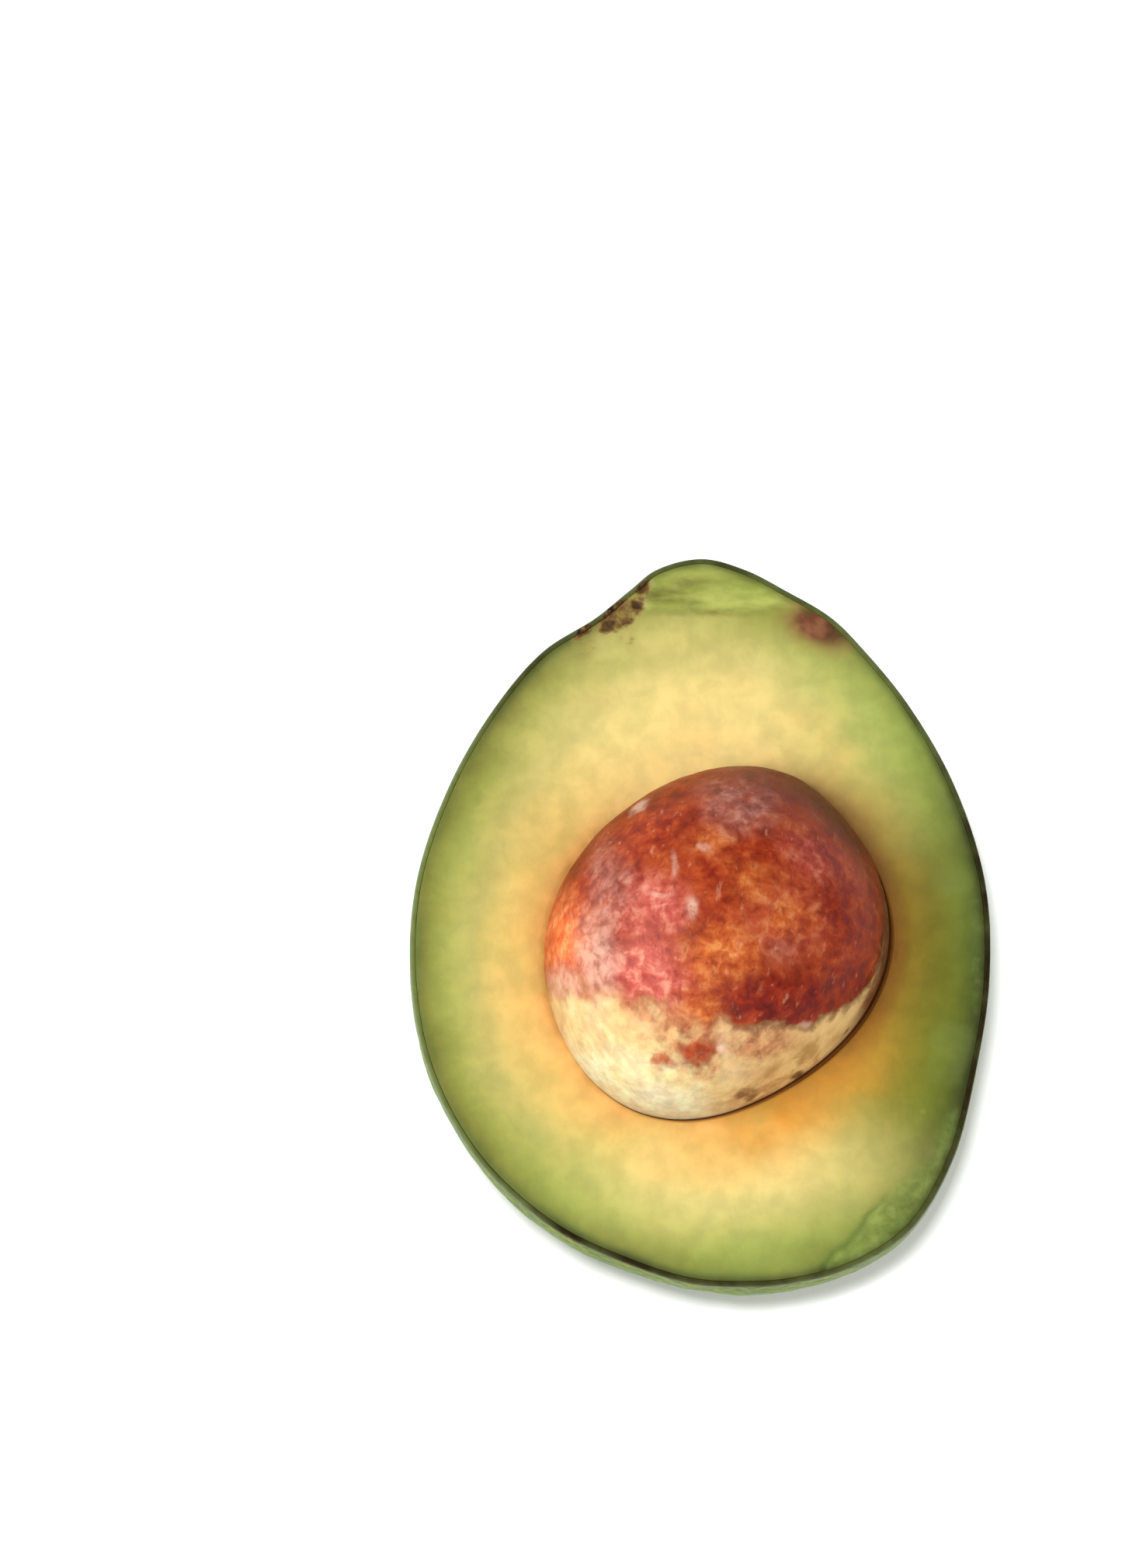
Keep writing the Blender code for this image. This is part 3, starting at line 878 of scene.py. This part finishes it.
def make_skin():
    around = np.linspace(0.0, 2 * math.pi, COLUMNS, endpoint=False)
    below = np.concatenate((
        np.linspace(math.pi / 2, 0.03, 112), (0.022, 0.014, 0.008, 0.004),
    ))
    outer = fruit_surface(around[None], np.repeat(below[:, None], COLUMNS, 1))
    normals = outward_normals(outer, CUT_MIDDLE)
    normals[0] = (0.0, 0.0, -1.0)
    lumps = SKIN_LUMPS * layered_noise(outer, 20 * MM, 20, 2)
    pebbles = SKIN_PEBBLES * layered_noise(outer, 3.4 * MM, 24, 3)
    scar = scar_mask(outer) * smooth(outer[..., 2], CUT_HEIGHT - 9 * MM, CUT_HEIGHT - 3 * MM)
    crust = SKIN_SCAR_ROUGHNESS * layered_noise(outer, 2.8 * MM, 28, 3) - SKIN_SCAR_DEPTH
    relief = (lumps + pebbles) * smooth(below, 0.0, 0.10)[:, None]
    relief += scar * crust * smooth(below, 0.0, 0.06)[:, None]
    outer = outer + normals * relief[..., None]
    outer[..., 2] = np.maximum(outer[..., 2], 0.0)

    # The cut edge of the skin: rounded outside, flat on top, then down along the flesh.
    # Each row of it has its distance in from the outline and its height, in millimetres.
    insets, heights = np.array((
        (0.02, -0.10), (0.08, -0.03), (0.17, 0.0), (0.35, 0.01), (0.55, 0.0),
        (0.72, -0.02), (0.82, -0.08), (0.85, -0.20), (0.86, -0.60),
    )).T
    edge_line = fruit_surface(around, np.zeros(COLUMNS))
    ragged = SKIN_EDGE_ROUGHNESS * layered_noise(edge_line, 3.0 * MM, 31, 3)
    edge_rows = np.repeat(edge_line[None], len(insets), 0)
    edge_rows[..., :2] += inward_steps(edge_line[:, :2]) * (insets * MM)[:, None, None]
    edge_rows[..., 2] += (heights * MM)[:, None]
    edge_rows[..., 2] += ragged * np.minimum(1.0, insets / 0.17)[:, None]

    # The inner face lies against the flesh, out of sight.
    inner = inner_surface(around, np.linspace(0.03, math.pi / 2, COVERED_ROWS), SKIN_THICKNESS)
    rows = np.concatenate((outer, edge_rows, inner))

    def whole(outside, edge, inside):
        """Values on the outside, on the cut edge and on the inner face."""
        parts = ((len(outer), outside), (len(edge_rows), edge), (COVERED_ROWS, inside))
        return np.concatenate([np.zeros((count, COLUMNS)) + value for count, value in parts])

    bearing = np.arctan2(edge_line[:, 1] - FRUIT_MIDDLE[1], edge_line[:, 0])
    masks = {
        "cut": whole(smooth(below, 0.022, 0.004)[:, None], 1.0, 1.0),
        "near_cut": whole(smooth(below, 0.42, 0.0)[:, None], 1.0, 0.0),
        "rim_dark_and_shade": np.repeat(rim_darkness_and_shade(bearing)[None], len(rows), 0),
        "rim": whole(0.0, (insets / insets[-1])[:, None], 1.0),
        "scar": whole(scar, scar_mask(edge_rows), 0.0),
    }
    # The map is the outside spread into a disc, with the cut edge as a ring round it. The
    # inner face is a small disc in a corner.
    reach = np.concatenate((
        0.445 * (math.pi / 2 - below) / (math.pi / 2),
        0.447 + 0.033 * np.linspace(0.1, 1.0, len(edge_rows)),
    ))
    corner_reach = 0.06 * np.linspace(1.0, 0.0, COVERED_ROWS)
    maps = np.concatenate((
        disc_map(around[None], reach[:, None], (0.5, 0.5)),
        disc_map(around[None], corner_reach[:, None], (0.065, 0.065)),
    ))
    return ring_mesh("avocado_skin", rows, maps, masks, skin_material())


def make_seed():
    around = np.linspace(0.0, 2 * math.pi, SEED_COLUMNS, endpoint=False)
    above = np.concatenate((
        np.linspace(-math.pi / 2, -0.10, 28), np.linspace(-0.06, math.pi / 2, 128),
    ))
    plain = seed_surface(around[None], above[:, None])
    middle = np.array(SEED_CENTRE)
    normals = outward_normals(plain, middle)
    normals[0], normals[-1] = (0.0, 0.0, -1.0), (0.0, 0.0, 1.0)

    # The marks are laid out on the seed as it shows from the photo's side, which is the seed
    # tipped a little to the stem end. They stay where they are on it.
    x, flat_y, height = np.moveaxis(plain - middle, -1, 0)
    y = flat_y * math.cos(VIEW_TILT) + height * math.sin(VIEW_TILT)
    facing = height * math.cos(VIEW_TILT) - flat_y * math.sin(VIEW_TILT)

    # How near the outline each point shows: 1 on it, more behind it.
    c, s = math.cos(SEED_TURN), math.sin(SEED_TURN)
    share = np.hypot((x * c + y * s) / SEED_LONG, (y * c - x * s) / SEED_SHORT)
    rim = np.where(facing > 0.0, share, 2.0 - share)
    bearing = np.degrees(np.arctan2(y, x))

    # How far each point is above the line that the brown coat is torn off along.
    line_x, line_y = np.array(SEED_TEAR).T
    peel = y / MM + 0.5 * layered_noise(plain, 4 * MM, 70) - np.interp(x / MM, line_x, line_y)
    wander = 0.9 * MM * layered_noise(plain, 5 * MM, 72)
    wx, wy = x + wander, y - wander

    def patches(*shapes, soft=0.7):
        """Patches given as (x, y, long half, short half, turn, strength)."""
        return np.maximum.reduce([
            strength * blob(wx, wy, (px, py), (long, short), turn, soft)
            for px, py, long, short, turn, strength in shapes
        ])

    # Two islands of the coat are left below the line.
    islands = patches((-3.6, -16.4, 2.9, 2.8, 10, 1.0), (-8.1, -18.1, 1.9, 1.2, 15, 0.66))
    peel = np.maximum(peel, 4.4 * islands - 2.7)
    # Along the right rim a thin strip is bare too, and tapers off both ways.
    strip_start = 0.975 + 0.1 * ((bearing - 5.0) / 38.0) ** 2
    peel = np.clip(np.minimum(peel, (strip_start - rim) * 60.0), -8.0, 8.0)
    coat = smooth(peel, -0.5, 0.5)

    torn_edge = np.exp(-(((peel - 0.5) / 0.6) ** 2))
    relief = SEED_LUMPS * layered_noise(plain, 17 * MM, 80, 2)
    relief += SEED_GRAIN * layered_noise(plain, 4.5 * MM, 84, 3)
    relief += COAT_THICKNESS * (coat - 1.0)
    relief += COAT_CURL * torn_edge * layered_noise(plain, 3 * MM, 88)
    relief *= smooth(above, 0.0, 0.15)[:, None]
    rows = plain + normals * relief[..., None]

    # Where along the outline the seed gets its painted shade.
    upper_right = np.exp(-(((bearing - 52.0) / 32.0) ** 2))
    upper_left = np.exp(-(((bearing - 145.0) / 35.0) ** 2))
    right = np.exp(-(((bearing + 6.0) / 30.0) ** 2))
    bare_strip = smooth(rim, 0.94, 0.96)
    bare_strip = bare_strip * smooth(bearing, -34.0, -18.0) * smooth(bearing, 60.0, 45.0)
    masks = {
        "peel": peel,
        "torn": smooth(x, -5 * MM, 4 * MM),
        "warm": np.maximum(0.8 * smooth(x, -8 * MM, 10 * MM), 0.5 * smooth(y, -19 * MM, -12 * MM)),
        # Painted light: the cream whiter towards the bottom of the seed.
        "painted_light_bottom": patches((-8.0, -25.0, 8.0, 2.8, -14, 1.0), (-20.0, -20.5, 4.4, 2.4, -45, 0.8),
                          soft=0.8),
        "film": np.maximum.reduce((
            patches((-5.0, -14.2, 8.4, 6.2, 0, 1.0), (6.5, -15.0, 8.0, 3.2, 5, 1.0),
                    (-10.8, -21.8, 1.8, 0.9, 0, 0.5), (-19.0, -9.5, 5.4, 2.8, 0, 0.7)),
            smooth(peel, -5.5, -0.5) * (1.0 - 0.6 * smooth(x, 6 * MM, 14 * MM)),
            bare_strip,
        )),
        "pink": patches((-11.9, 6.5, 6.0, 4.4, 0, 1.0), (-11.0, -3.8, 6.2, 5.0, -20, 1.0),
                        (15.4, 13.3, 6.2, 2.8, -35, 0.5), (11.2, 5.0, 5.5, 4.4, 0, 0.5)),
        "orange": patches((0.4, -1.8, 5.6, 4.6, -20, 1.0), (-1.1, 17.0, 2.8, 1.9, 0, 0.95),
                          (5.8, 10.0, 5.6, 2.8, -25, 0.55), (-11.4, 18.2, 4.0, 1.8, 30, 0.4),
                          (11.0, 4.8, 4.6, 3.4, 0, 0.75), (-2.4, -9.0, 3.8, 2.8, -30, 0.9)),
        "mauve": patches((3.6, 22.8, 5.4, 4.6, 0, 0.75), (-17.4, 9.0, 3.6, 6.4, 0, 0.75),
                         (9.6, -0.8, 2.6, 1.9, 0, 0.2)),
        "red": patches((-11.2, 17.8, 5.4, 2.4, 32, 0.95), (-1.2, 11.4, 3.8, 2.6, 20, 0.55),
                       (5.6, 15.0, 4.2, 1.6, -10, 0.85), (-22.2, 8.8, 3.4, 2.4, 35, 0.8),
                       (-0.8, 5.6, 3.4, 3.0, 0, 0.25), (19.5, 4.0, 3.2, 9.0, 6, 0.85),
                       (-3.6, -16.4, 3.0, 3.0, 0, 0.5)),
        "deep": patches((9.4, -8.2, 9.8, 3.8, -6, 1.0), (19.2, 6.0, 1.8, 5.5, 12, 0.7),
                        (21.0, -4.6, 2.4, 3.0, -20, 0.6)),
        # Painted light: the left rim brighter orange.
        "painted_light_left": patches((-25.0, 2.0, 4.0, 5.4, -4, 0.95), soft=0.9),
        # Mostly painted highlights and glints, kept to the side facing the camera, with a few pale
        # flecks.
        "pale": patches((-19.2, -1.6, 3.2, 5.6, 6, 0.52), (-12.6, 22.4, 1.6, 0.9, 28, 0.75),
                        (-24.6, -5.2, 2.8, 3.0, 0, 0.45),
                        (-4.6, 6.7, 0.9, 1.7, 12, 0.6), (0.4, -15.6, 0.9, 0.7, 0, 0.9),
                        (13.9, -12.5, 1.2, 0.6, 0, 0.5), (-2.4, 15.9, 1.0, 0.7, 0, 0.4),
                        (-7.2, 13.2, 0.5, 1.9, 5, 0.4), (-9.6, 8.5, 2.0, 0.4, 4, 0.35),
                        soft=0.6) * smooth(facing, 1 * MM, 5 * MM),
        "tan": patches((11.2, -20.1, 9.5, 1.9, 37, 1.0), (3.6, -24.4, 4.8, 1.2, 14, 0.6)),
        "spots": patches((12.3, -20.3, 1.2, 0.7, 35, 0.9), (4.4, -23.3, 1.7, 0.8, 20, 0.8),
                         (20.6, -13.6, 0.8, 0.5, 40, 0.8), soft=0.4),
        # Painted shade along the seed's outline.
        "edge": np.maximum.reduce((
            0.72 * smooth(rim, 0.80, 0.95) * smooth(rim, 1.16, 1.02) * upper_right,
            0.25 * smooth(rim, 0.93, 0.99) * upper_left,
            0.8 * smooth(rim, 0.91, 1.0) * np.clip(right + 0.2, 0.0, 1.0),
        )),
    }
    # The map has the upper part as a large disc and the hidden part as a small one.
    from_pole = (1.0 - np.abs(above) / (math.pi / 2))[:, None]
    top_map = disc_map(around[None], 0.445 * from_pole, (0.455, 0.455))
    under_map = disc_map(around[None], 0.12 * from_pole, (0.87, 0.87))
    maps = np.where((above >= -0.05)[:, None, None], top_map, under_map)
    return ring_mesh("avocado_seed", rows, maps, masks, seed_material())


# ---------------------------------------------------------------------------
# Stage: floor, light and camera
# ---------------------------------------------------------------------------
def make_floor():
    bpy.ops.mesh.primitive_plane_add(size=8.0, location=(0.0, 0.0, 0.0))
    floor = bpy.context.object
    floor.name = "floor"
    n = Nodes("white_table")
    tone = n.ramp(n.noise(0.12, 2.0), ((0.3, (0.90, 0.90, 0.90, 1)), (0.7, (0.92, 0.92, 0.92, 1))))
    floor.data.materials.append(
        n.finish(tone, 0.7, n.bump(n.noise(1.5 * MM), 0.01 * MM), Specular_IOR_Level=0.2)
    )
    return floor


def make_light(name, pieces, bearing, elevation, distance, size, watts):
    """A soft square light that shines on the pieces only, from a distance to the fruit.

    The bearing is from +X and the elevation above the floor, in degrees.
    """
    data = bpy.data.lights.new(name, "AREA")
    data.shape = "SQUARE"
    data.size = size
    data.energy = watts
    lamp = bpy.data.objects.new(name, data)
    b, e = math.radians(bearing), math.radians(elevation)
    way = Vector((math.cos(b) * math.cos(e), math.sin(b) * math.cos(e), math.sin(e)))
    lamp.location = Vector((0.0, 0.0, CUT_HEIGHT)) + way * distance
    lamp.rotation_euler = way.to_track_quat("Z", "Y").to_euler()
    bpy.context.scene.collection.objects.link(lamp)
    lit = bpy.data.collections.new(name + "_lights")
    for piece in pieces:
        lit.objects.link(piece)
    lamp.light_linking.receiver_collection = lit


def make_world(strength):
    """Even white light from all round."""
    world = bpy.data.worlds.new("studio")
    world.use_nodes = True
    background = world.node_tree.nodes["Background"]
    background.inputs["Color"].default_value = (1.0, 1.0, 1.0, 1.0)
    background.inputs["Strength"].default_value = strength
    bpy.context.scene.world = world


CAMERA_DISTANCE = 1.3
FRAME_HEIGHT = 0.2500  # what the picture covers from top to bottom, at the cut face
AIM_LEFT, AIM_UP = 22.2 * MM, 21.5 * MM  # from the fruit's middle to the picture's


def make_camera():
    """A long lens that looks at the cut face as the photo does."""
    data = bpy.data.cameras.new("camera")
    data.sensor_fit = "VERTICAL"
    data.sensor_height = 24.0
    data.lens = data.sensor_height * CAMERA_DISTANCE / FRAME_HEIGHT
    data.clip_end = 50.0
    camera = bpy.data.objects.new("camera", data)
    back = Vector((0.0, -math.sin(VIEW_TILT), math.cos(VIEW_TILT)))
    up = Vector((0.0, math.cos(VIEW_TILT), math.sin(VIEW_TILT)))
    aim = Vector((-AIM_LEFT, 0.0, CUT_HEIGHT)) + up * AIM_UP
    camera.location = aim + back * CAMERA_DISTANCE
    camera.rotation_euler = (VIEW_TILT, 0.0, 0.0)
    bpy.context.scene.collection.objects.link(camera)
    bpy.context.scene.camera = camera


make_camera()
flesh = make_flesh()
skin = make_skin()
seed = make_seed()
for piece, node, slot in (
    (flesh, "fruit_half", "flesh"), (skin, "fruit_half", "skin"), (seed, "seed", "seed"),
):
    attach(piece, "root")
    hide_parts(node)

floor = make_floor()
make_world(strength=0.5)
# Two lights for the fruit, and two that light the table only and give the fruit's shadow.
fruit = (flesh, skin, seed)
for name, pieces, bearing, elevation, distance, size, watts in (
    ("key", fruit, 184.0, 48.0, 0.9, 0.5, 7.9),
    ("fill", fruit, 285.0, 38.0, 0.9, 0.6, 2.6),
    ("table", (floor,), 247.0, 81.6, 1.6, 0.12, 24.0),
    ("table_fill", (floor,), 225.0, 86.0, 2.0, 2.4, 22.0),
):
    make_light(name, pieces, bearing, elevation, distance, size, watts)
bpy.context.scene.view_settings.view_transform = "Standard"
